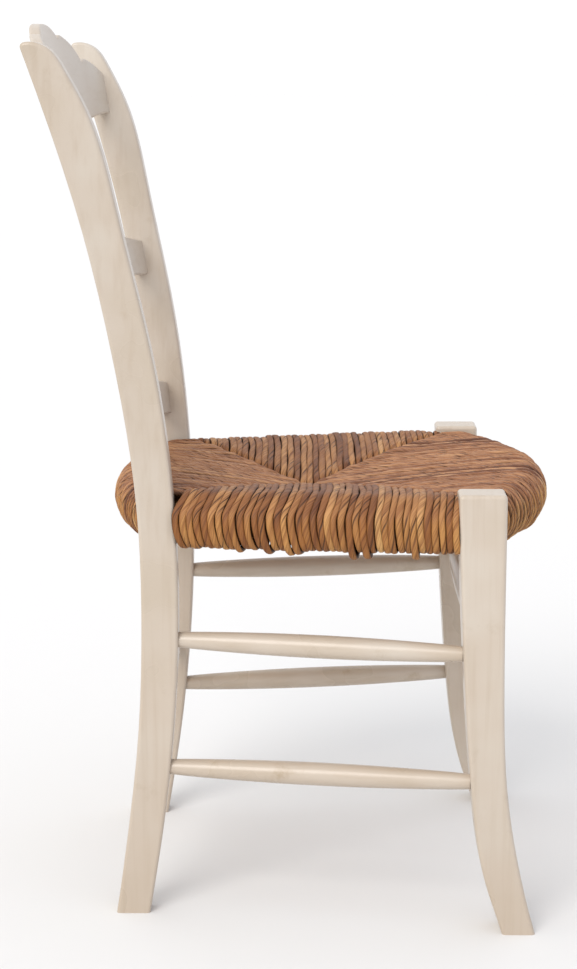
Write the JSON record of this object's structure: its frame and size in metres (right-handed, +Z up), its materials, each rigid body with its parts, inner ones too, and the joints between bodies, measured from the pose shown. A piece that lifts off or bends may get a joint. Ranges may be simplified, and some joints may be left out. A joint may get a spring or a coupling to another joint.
{
  "type": "dining chair",
  "caption": "Country ladder-back dining chair: painted sabre legs and splayed posts, scalloped crest, bowed slats, turned rungs and a woven rush seat.",
  "frame": {"origin": "on the floor, under the middle of the chair's overall box", "axes": "+Z up, the sitter faces -Y, +X to the sitter's left"},
  "size_m": [0.499, 0.5611, 0.9373],
  "materials": {
    "painted_frame": "ivory milk paint on beech, lightly rubbed, eggshell sheen",
    "bare_wood": "bare planed beech",
    "rush": "twisted natural rush cord, matt"
  },
  "bodies": {
    "root": {"back_slat_lower": "painted_frame", "back_slat_upper": "painted_frame", "crest_rail": "painted_frame", "front_leg_left": "painted_frame", "front_leg_right": "painted_frame", "front_rung": "painted_frame", "rear_post_left": "painted_frame", "rear_post_right": "painted_frame", "rear_rung": "painted_frame", "side_rung_lower_left": "painted_frame", "side_rung_lower_right": "painted_frame", "side_rung_upper_left": "painted_frame", "side_rung_upper_right": "painted_frame", "seat_rail_front": "bare_wood", "seat_rail_rear": "bare_wood", "seat_rail_left": "bare_wood", "seat_rail_right": "bare_wood", "rush_seat": "rush"}
  },
  "joints": []
}
